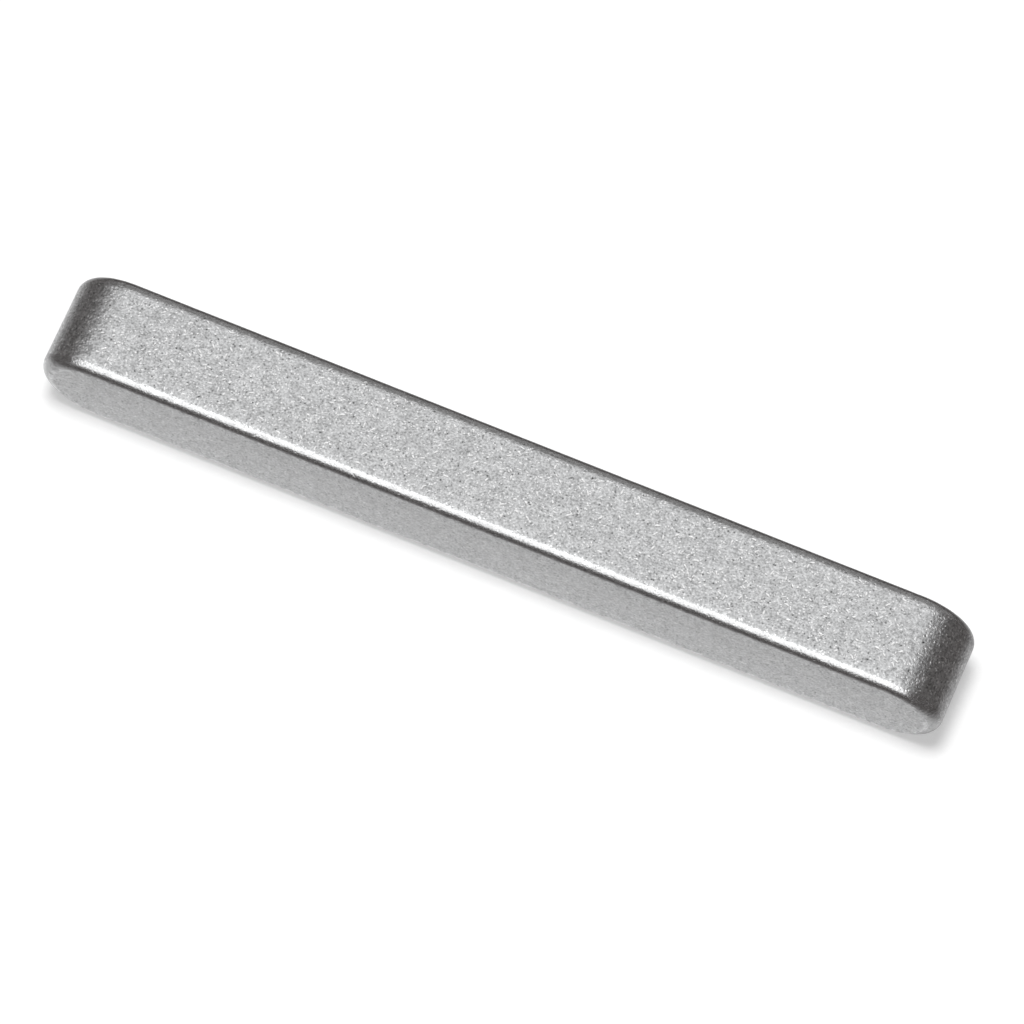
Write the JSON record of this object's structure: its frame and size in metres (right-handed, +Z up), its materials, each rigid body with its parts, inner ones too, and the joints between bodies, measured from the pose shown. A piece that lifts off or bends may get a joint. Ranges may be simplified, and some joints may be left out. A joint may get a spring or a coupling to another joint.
{
  "type": "parallel key",
  "caption": "Round-ended rectangular machine key of plain steel with soft tumbled edges, for carrying torque between a shaft and a hub.",
  "frame": {"origin": "on the resting surface, under the middle of the key, which lies on one side wall", "axes": "+X along the key's length, +Y from its bottom face to its top face, +Z up across its width"},
  "size_m": [0.063, 0.007, 0.008],
  "materials": {
    "tumbled_steel": "bright steel, tumbled: fine matt grain with short random marks and burnished edges"
  },
  "bodies": {
    "root": {"parallel_key": "tumbled_steel"}
  },
  "joints": []
}
